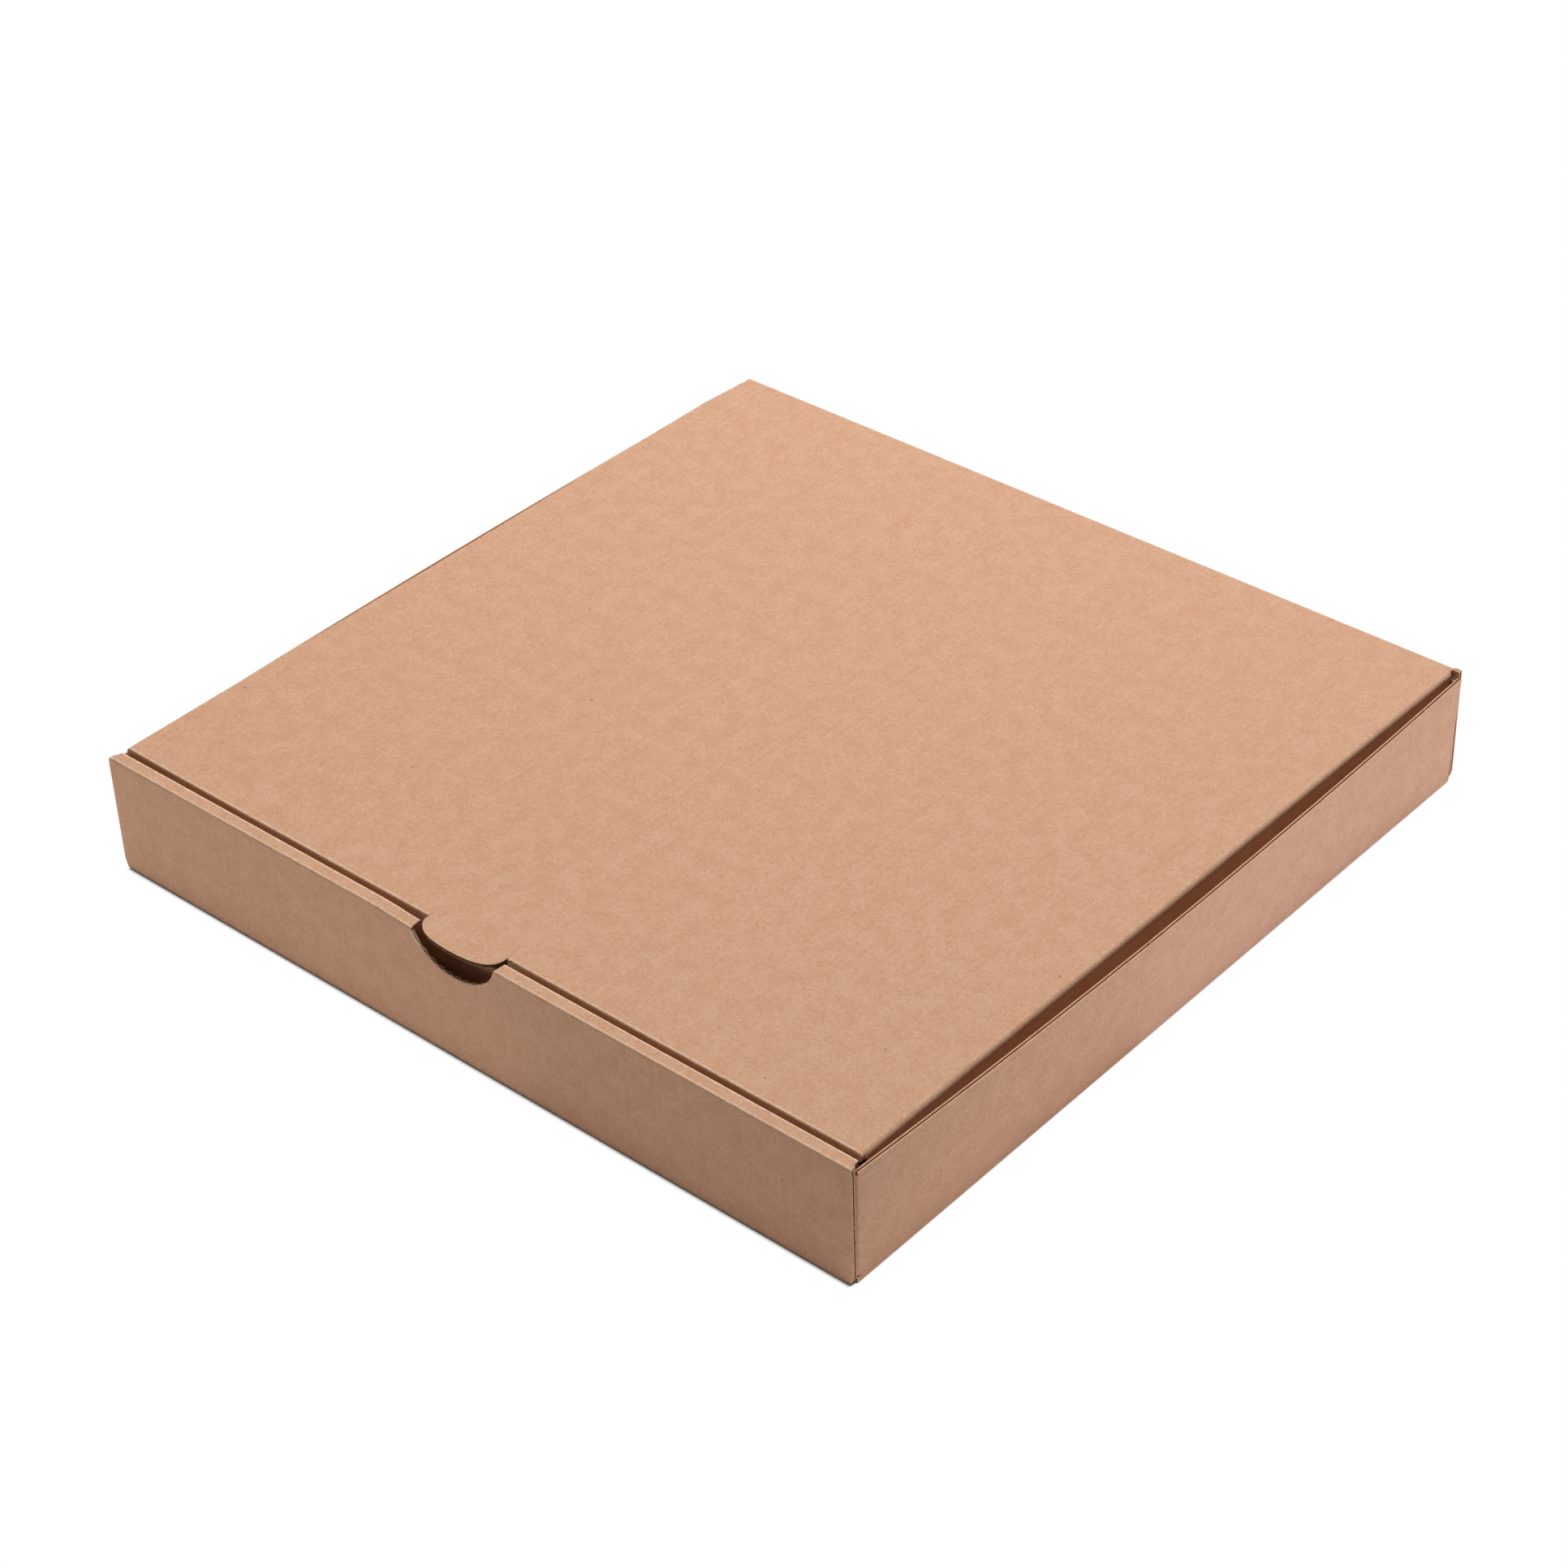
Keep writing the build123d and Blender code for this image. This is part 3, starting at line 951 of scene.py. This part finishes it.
class Link:
    """A socket of a node tree. Sums and products with numbers or other links add Math nodes."""

    def __init__(self, paint, socket):
        self.paint = paint
        self.socket = socket

    def math(self, operation, first, second):
        return self.paint.node("ShaderNodeMath", {"operation": operation}, {0: first, 1: second})

    def __add__(self, other):
        return self.math("ADD", self, other)

    def __radd__(self, other):
        return self.math("ADD", other, self)

    def __sub__(self, other):
        return self.math("SUBTRACT", self, other)

    def __mul__(self, other):
        return self.math("MULTIPLY", self, other)

    def __rmul__(self, other):
        return self.math("MULTIPLY", other, self)


class Paint:
    """One node tree, and short ways to add the nodes that this script uses."""

    def __init__(self, owner):
        owner.use_nodes = True
        self.tree = owner.node_tree
        self.tree.nodes.clear()

    def node(self, kind, settings=None, sockets=None, output=0):
        made = self.tree.nodes.new(kind)
        for name, value in (settings or {}).items():
            setattr(made, name, value)
        for name, value in (sockets or {}).items():
            self.feed(made.inputs[name], value)
        return Link(self, made.outputs[output]) if made.outputs else made

    def feed(self, socket, value):
        if isinstance(value, Link):
            self.tree.links.new(value.socket, socket)
        else:
            socket.default_value = value

    def noise(self, vector, scale, detail=3.0, roughness=0.55):
        values = {"Vector": vector, "Scale": scale, "Detail": detail, "Roughness": roughness}
        return self.node("ShaderNodeTexNoise", {}, values)

    def stretch(self, vector, amounts):
        return self.node("ShaderNodeVectorMath", {"operation": "MULTIPLY"}, {0: vector, 1: amounts})

    def ease(self, value, low, high):
        """Smooth step from nought at low to one at high."""
        settings = {"interpolation_type": "SMOOTHSTEP"}
        values = {"Value": value, "From Min": low, "From Max": high}
        return self.node("ShaderNodeMapRange", settings, values)

    def blend(self, factor, first, second):
        """Two colours mixed, by the colour sockets of a Mix node."""
        return self.node("ShaderNodeMix", {"data_type": "RGBA"}, {0: factor, 6: first, 7: second}, 2)

    def background_rays(self):
        """One for the rays that show the background, from the camera or off and through shiny things."""
        rays = [self.node("ShaderNodeLightPath", {}, {}, name) for name in BACKGROUND_RAYS]
        settings = {"operation": "ADD", "use_clamp": True}
        either = self.node("ShaderNodeMath", settings, {0: rays[0], 1: rays[1]})
        return self.node("ShaderNodeMath", settings, {0: either, 1: rays[2]})

    def vary(self, colour, change, parts):
        """A colour made lighter or darker by a changing number, with its own share of it for each part."""
        shift = self.node("ShaderNodeVectorMath", {"operation": "SCALE"}, {0: parts, "Scale": change})
        values = {0: colour, 1: shift, 2: colour}
        return self.node("ShaderNodeVectorMath", {"operation": "MULTIPLY_ADD"}, values)


def tone(red, green, blue):
    """A colour given as on a screen, from 0 to 255, as the linear value that the nodes take."""
    linear = []
    for part in (red, green, blue):
        share = part / 255
        linear.append(share / 12.92 if share <= 0.04045 else ((share + 0.055) / 1.055) ** 2.4)
    return (*linear, 1.0)


# Paper: waves of each noise in a millimetre, across the flutes, along them and through the board
FIBRE_RATE = (1.3, 2.2, 3.0)
FUZZ_RATE = (3.4, 4.6, 3.0)
FELT_RATE = (0.5, 0.75, 1.0)
STREAK_RATE = (0.55, 0.02, 0.3)
MOTTLE_RATE = 0.15
CLOUD_RATE = 0.02
SPOT_RATE = 0.11
FLECK_RATE = 0.3

# How much each makes the paper lighter or darker, and the share of that in red, green and blue
FIBRE_SHADE = 0.7
FUZZ_SHADE = 0.7
FELT_SHADE = 0.2
STREAK_SHADE = 0.07
MOTTLE_SHADE = 0.09
CLOUD_SHADE = 0.02
# Faint stripes of painted shade in step with the flutes beneath the liner
WAVE_PAINTED_SHADE = 0.007
SHADE_PARTS = (0.75, 1.25, 1.55)
WARMTH_FELT = 0.6
WARMTH_EDGES = (0.25, 0.75)

# Dark spots and small flecks in the pulp, as shares of their cells, and pale folds, rubbed and with a
# painted highlight
SPOT_CHANCE = 0.45
SPOT_SIZE = 0.045
SPOT_SOFT = 0.015
SPOT_FRAY = 0.03
SPOT_SHARE = 0.75
SPOT_TONE = tone(104, 66, 44)
FLECK_EDGES = (0.1, 0.05)
FLECK_FRAY = 0.12
FLECK_SHARE = 0.3
FLECK_TONE = tone(130, 90, 64)
RUB_AND_HIGHLIGHT_FIBRE = 0.7
RUB_AND_HIGHLIGHT_FELT = 1.0
RUB_AND_HIGHLIGHT_EDGES = (0.45, 0.95)
RUB_AND_HIGHLIGHT_SHARE = 0.75

# Relief and gloss
FIBRE_RELIEF = 0.5
FUZZ_RELIEF = 0.3
WAVE_RELIEF = 0.12
BUMP_STRENGTH = 0.2
BUMP_DEPTH = 0.04 * MM
ROUGHNESS = 0.84
ROUGHNESS_SPREAD = 0.12
SPECULAR = 0.15


def kraft(name, plain, pale, worn_and_highlight, depth=1.0):
    """Brown paper with short fibres, soft clouds, a few specks, and pale folds, rubbed and with a painted
    highlight.
    """
    material = bpy.data.materials.new(name)
    paint = Paint(material)
    sheet = paint.node("ShaderNodeAttribute", {"attribute_name": "sheet"}, {}, 1)
    millimetres = paint.stretch(sheet, (1 / MM, 1 / MM, 1 / MM))
    wear_and_highlight = paint.node("ShaderNodeAttribute", {"attribute_name": "wear_and_highlight"}, {}, 2)
    u = paint.node("ShaderNodeSeparateXYZ", {}, {"Vector": millimetres}, 0)
    fibre = paint.noise(paint.stretch(millimetres, FIBRE_RATE), 1.0, detail=3.0, roughness=0.6)
    fuzz = paint.noise(paint.stretch(millimetres, FUZZ_RATE), 1.0, detail=1.0)
    felt = paint.noise(paint.stretch(millimetres, FELT_RATE), 1.0, detail=2.0)
    mottle = paint.noise(millimetres, MOTTLE_RATE, detail=3.0)
    cloud = paint.noise(millimetres, CLOUD_RATE, detail=2.0)
    streak = paint.noise(paint.stretch(millimetres, STREAK_RATE), 1.0, detail=2.0)
    wave = paint.node("ShaderNodeMath", {"operation": "SINE"}, {0: u * (2 * math.pi / (FLUTE / MM))})
    grain = (fibre - 0.5) * FIBRE_SHADE + (fuzz - 0.5) * FUZZ_SHADE + (felt - 0.5) * FELT_SHADE
    broad = (mottle - 0.5) * MOTTLE_SHADE + (cloud - 0.5) * CLOUD_SHADE + (streak - 0.5) * STREAK_SHADE
    # The flutes beneath the liner show as faint stripes of painted shade, and as relief in the bump
    light = depth * (grain + broad) + wave * WAVE_PAINTED_SHADE
    warmth = paint.ease(mottle + (felt - 0.5) * WARMTH_FELT, *WARMTH_EDGES)
    colour = paint.blend(warmth, plain, pale)
    spots = paint.node("ShaderNodeTexVoronoi", {}, {"Vector": millimetres, "Scale": SPOT_RATE}, 0)
    which = paint.node("ShaderNodeTexVoronoi", {}, {"Vector": millimetres, "Scale": SPOT_RATE}, 1)
    chance = paint.node("ShaderNodeSeparateColor", {}, {"Color": which}, 0)
    size = paint.ease(chance, SPOT_CHANCE, 1.0) * SPOT_SIZE
    spot = paint.ease(spots + fuzz * SPOT_FRAY, size + SPOT_SOFT, size)
    colour = paint.blend(spot * SPOT_SHARE, colour, SPOT_TONE)
    flecks = paint.node("ShaderNodeTexVoronoi", {}, {"Vector": millimetres, "Scale": FLECK_RATE}, 0)
    fleck = paint.ease(flecks + fuzz * FLECK_FRAY, *FLECK_EDGES)
    colour = paint.blend(fleck * FLECK_SHARE, colour, FLECK_TONE)
    # Folds turn pale: rubbed paper, and a painted highlight on their crowns
    rub_and_highlight = paint.ease(wear_and_highlight + (fibre - 0.5) * RUB_AND_HIGHLIGHT_FIBRE + (felt - 0.5) * RUB_AND_HIGHLIGHT_FELT, *RUB_AND_HIGHLIGHT_EDGES)
    colour = paint.blend(rub_and_highlight * RUB_AND_HIGHLIGHT_SHARE, paint.vary(colour, light, SHADE_PARTS), worn_and_highlight)
    height = fibre * FIBRE_RELIEF + fuzz * FUZZ_RELIEF + wave * WAVE_RELIEF
    relief = {"Strength": BUMP_STRENGTH, "Distance": BUMP_DEPTH, "Height": height}
    bump = paint.node("ShaderNodeBump", {}, relief)
    rough = ROUGHNESS + (mottle - 0.5) * ROUGHNESS_SPREAD
    values = {"Base Color": colour, "Roughness": rough, "Normal": bump, "Specular IOR Level": SPECULAR}
    surface = paint.node("ShaderNodeBsdfPrincipled", {}, values)
    paint.node("ShaderNodeOutputMaterial", {}, {"Surface": surface})
    return material


# Tones of the liners, of their cut edges (paler paper made near white as a painted highlight) and of the
# waved sheet between (painted dark brown as the shade in the flutes and gaps), and how strong its grain is
LINER_PLAIN = tone(212, 165, 133)
LINER_PALE = tone(217, 172, 141)
# Tone of the pale folds: rubbed paper and a painted highlight
LINER_WORN_AND_HIGHLIGHT = tone(240, 212, 186)
CUT_PLAIN = tone(250, 226, 194)
CUT_PALE = tone(255, 238, 212)
CUT_GRAIN = 0.6
WAVED_SHADED_PLAIN = tone(112, 74, 50)
WAVED_SHADED_PALE = tone(132, 90, 62)
WAVED_SHADED_GRAIN = 0.8
finishes = [
    kraft("kraft_liner", LINER_PLAIN, LINER_PALE, LINER_WORN_AND_HIGHLIGHT),
    kraft("cut_board_with_painted_highlight", CUT_PLAIN, CUT_PALE, LINER_WORN_AND_HIGHLIGHT, CUT_GRAIN),
    kraft("waved_paper_painted_shade", WAVED_SHADED_PLAIN, WAVED_SHADED_PALE, LINER_PLAIN, WAVED_SHADED_GRAIN),
]

# The tray, the lid and the bent strip between them
tray = Sheet()
strip, loops = tray_main()
tray.build(strip, *loops)
for place in END_NICKS:
    tray.tuft(strip, HALF, strip.path.folds[1][2] + TOP - REACH - place, (-BOARD, 0))
for side in (-1, 1):
    strip, loops = tray_side(side)
    tray.build(strip, *loops)
    if side == 1:
        for place in WALL_NICKS:
            tray.tuft(strip, place, strip.path.end, (0, -BOARD))
    for end in (-1, 1):
        strip, loops = tray_ear(side, end)
        tray.build(strip, *loops)
tray_sheet = tray.object("tray_sheet", finishes)

lid = Sheet()
for strip, loops in (lid_main(), lid_tab(), lid_flap(-1), lid_flap(1)):
    lid.build(strip, *loops)
lid_sheet = lid.object("lid_sheet", finishes)

hinge = Sheet()
strip, loops = crease()
hinge.build(strip, *loops)
hinge_crease = hinge.object("hinge_crease", finishes)

# Which body each rides on, and which solid it stands for
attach(tray_sheet, "tray")
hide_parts("tray")
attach(lid_sheet, "lid")
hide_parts("lid")
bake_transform(hinge_crease)

# Floor: white where it shows, with a thin line of shade where the box stands on it
FLOOR_HALF = 6.0
FLOOR_LEVEL = -0.15 * MM
FLOOR_TONE = tone(240, 240, 240)
WHITE = (1, 1, 1, 1)
CONTACT = 1.6 * MM
CONTACT_SAMPLES = 12
CONTACT_EDGES = (0.4, 0.97)
SIDE_CONTACT = 0.6
signs = ((-1, -1), (1, -1), (1, 1), (-1, 1))
floor_mesh = bpy.data.meshes.new("floor")
floor_mesh.from_pydata([(x * FLOOR_HALF, y * FLOOR_HALF, FLOOR_LEVEL) for x, y in signs], [], [(0, 1, 2, 3)])
floor = bpy.data.objects.new("floor", floor_mesh)
bpy.context.scene.collection.objects.link(floor)
floor_finish = bpy.data.materials.new("floor_white")
paint = Paint(floor_finish)
seen = paint.background_rays()
matt = paint.node("ShaderNodeBsdfDiffuse", {}, {"Color": FLOOR_TONE})
white = paint.node("ShaderNodeEmission", {}, {"Color": WHITE, "Strength": 1.0})
occlusion = {"samples": CONTACT_SAMPLES}
open_air = paint.node("ShaderNodeAmbientOcclusion", occlusion, {"Distance": CONTACT}, 1)
where = paint.node("ShaderNodeNewGeometry", {}, {}, "Position")
east = paint.node("ShaderNodeSeparateXYZ", {}, {"Vector": where}, "X")
bare = paint.ease(east, HALF - CONTACT, HALF) * SIDE_CONTACT
clear = paint.ease(open_air + bare, *CONTACT_EDGES)
floor_mix = paint.node("ShaderNodeMixShader", {}, {0: seen * clear, 1: matt, 2: white})
paint.node("ShaderNodeOutputMaterial", {}, {"Surface": floor_mix})
floor.data.materials.append(floor_finish)

# World: white where it shows, and a faint light on the box
WORLD_LEVEL = 0.05
world = bpy.data.worlds.new("studio")
bpy.context.scene.world = world
paint = Paint(world)
seen = paint.background_rays()
strength = WORLD_LEVEL + seen * (1 - WORLD_LEVEL)
sky = paint.node("ShaderNodeBackground", {}, {"Color": WHITE, "Strength": strength})
paint.node("ShaderNodeOutputWorld", {}, {"Surface": sky})

# Lamps: two soft boxes, and the light that the white table throws up on the walls
TABLE_LEVEL = 0.4 * MM
TABLE_TILT = 0.1 * MM


def lamp(name, place, aim, size, power, colour):
    """A soft box, given by its middle, the point it faces, its width and depth, and its power in watts."""
    data = bpy.data.lights.new(name, "AREA")
    data.shape = "RECTANGLE"
    data.size, data.size_y = size
    data.energy = power
    data.color = colour
    made = bpy.data.objects.new(name, data)
    bpy.context.scene.collection.objects.link(made)
    made.visible_camera = False
    place = Vector(place)
    made.location = place
    made.rotation_euler = (Vector(aim) - place).to_track_quat("-Z", "Y").to_euler()


def table_lamp(name, x, y, size, power, colour):
    """A soft box that lies on the table and shines up, tilted by a hair so that its turn is settled."""
    lamp(name, (x, y, TABLE_LEVEL), (x, y + TABLE_TILT, 1), size, power, colour)


lamp("over_lamp", (-0.25, 0.22, 1.5), (-0.05, 0.05, 0), (1.0, 1.3), 17.9, (1.0, 0.955, 0.88))
lamp("rear_lamp", (-0.15, 1.4, 0.9), (0, 0, 0), (0.8, 0.8), 14.5, (0.95, 1.0, 1.14))
table_lamp("side_table", 0.4245, 0.29, (0.545, 0.62), 0.87, (0.98, 0.99, 1.15))
table_lamp("near_table", 0.4245, -0.095, (0.545, 0.15), 0.155, (1.0, 0.95, 1.0))
table_lamp("front_table", -0.22, -0.352, (0.5, 0.4), 0.325, (1.0, 0.96, 0.98))
table_lamp("corner_table", 0.095, -0.302, (0.13, 0.3), 0.04, (1.0, 0.96, 0.98))

# Camera, fitted to the corners of the box in the photograph, with lengths as shares of the box's width
IMAGE_SIZE = 1932
FOCAL_PIXELS = 4466.115
SENSOR = 36
FOCAL = FOCAL_PIXELS / IMAGE_SIZE * SENSOR
AZIMUTH = math.radians(42.0459)
ELEVATION = math.radians(36.2681)
ROLL_ANGLE = math.radians(-2.0478)
SPAN = 0.304
FITTED_FRONT = -151.0 * MM
DISTANCE = 3.850137 * SPAN
SLIDE = (0.0098896 * SPAN, -0.0419030 * SPAN)
back = Vector(
    (
        math.sin(AZIMUTH) * math.cos(ELEVATION),
        -math.cos(AZIMUTH) * math.cos(ELEVATION),
        math.sin(ELEVATION),
    )
)
level = Vector((math.cos(AZIMUTH), math.sin(AZIMUTH), 0))
rise = back.cross(level)
right = level * math.cos(ROLL_ANGLE) + rise * math.sin(ROLL_ANGLE)
up = rise * math.cos(ROLL_ANGLE) - level * math.sin(ROLL_ANGLE)
camera_data = bpy.data.cameras.new("camera")
camera_data.sensor_width = SENSOR
camera_data.lens = FOCAL
camera = bpy.data.objects.new("camera", camera_data)
bpy.context.scene.collection.objects.link(camera)
place = back * DISTANCE - right * SLIDE[0] - up * SLIDE[1] + Vector((0, FRONT - FITTED_FRONT, 0))
camera.matrix_world = Matrix.Translation(place) @ Matrix((right, up, back)).transposed().to_4x4()
bpy.context.scene.camera = camera
bpy.context.scene.view_settings.view_transform = "Standard"

bpy.context.view_layer.update()
